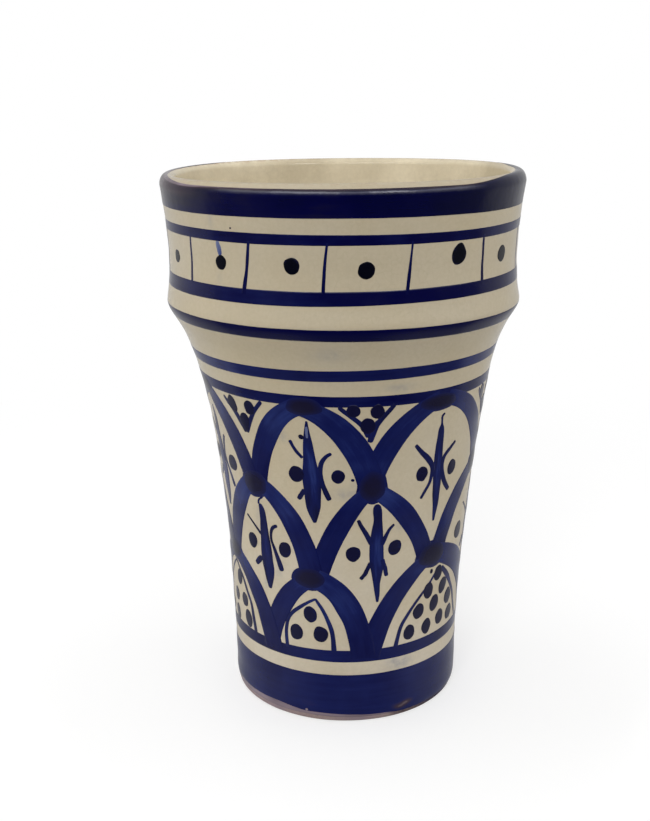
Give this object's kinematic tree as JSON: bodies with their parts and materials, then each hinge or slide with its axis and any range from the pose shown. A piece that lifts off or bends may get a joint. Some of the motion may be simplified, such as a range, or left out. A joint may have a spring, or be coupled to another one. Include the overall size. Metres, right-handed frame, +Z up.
{
  "type": "painted earthenware tumbler",
  "caption": "Tall handle-less earthenware drinking tumbler with a flared collar, cream glaze and hand-brushed blue bands, dotted windows and a fish-scale net with leaf sprigs.",
  "frame": {"origin": "centre of the foot on the surface that the tumbler stands on", "axes": "+Z up along the tumbler's axis, -Y towards the side that the picture shows"},
  "size_m": [0.0896, 0.0896, 0.135],
  "materials": {
    "earthenware": "bare fired clay, matt",
    "tin_glaze": "cream tin glaze, glossy, finely crazed",
    "blue_band": "thick dark cobalt band, glossy",
    "blue_brush": "brushed cobalt strokes under a glossy glaze",
    "blue_black": "blue-black dots and leaves, glossy"
  },
  "bodies": {
    "root": {"clay_body": "earthenware", "outer_glaze": "tin_glaze", "inner_glaze": "tin_glaze", "rim_band": "blue_band", "foot_band": "blue_band", "collar_ladder": "blue_brush", "shoulder_line": "blue_brush", "waist_line": "blue_brush", "scale_net": "blue_brush", "collar_dot_01": "blue_black", "collar_dot_02": "blue_black", "collar_dot_03": "blue_black", "collar_dot_04": "blue_black", "collar_dot_05": "blue_black", "collar_dot_06": "blue_black", "collar_dot_07": "blue_black", "collar_dot_08": "blue_black", "collar_dot_09": "blue_black", "collar_dot_10": "blue_black", "collar_dot_11": "blue_black", "collar_dot_12": "blue_black", "collar_dot_13": "blue_black", "collar_dot_14": "blue_black", "sprig_01": "blue_black", "sprig_02": "blue_black", "sprig_03": "blue_black", "sprig_04": "blue_black", "sprig_05": "blue_black", "sprig_06": "blue_black", "sprig_07": "blue_black", "sprig_08": "blue_black", "sprig_09": "blue_black", "sprig_10": "blue_black", "sprig_11": "blue_black", "sprig_12": "blue_black"}
  },
  "joints": []
}
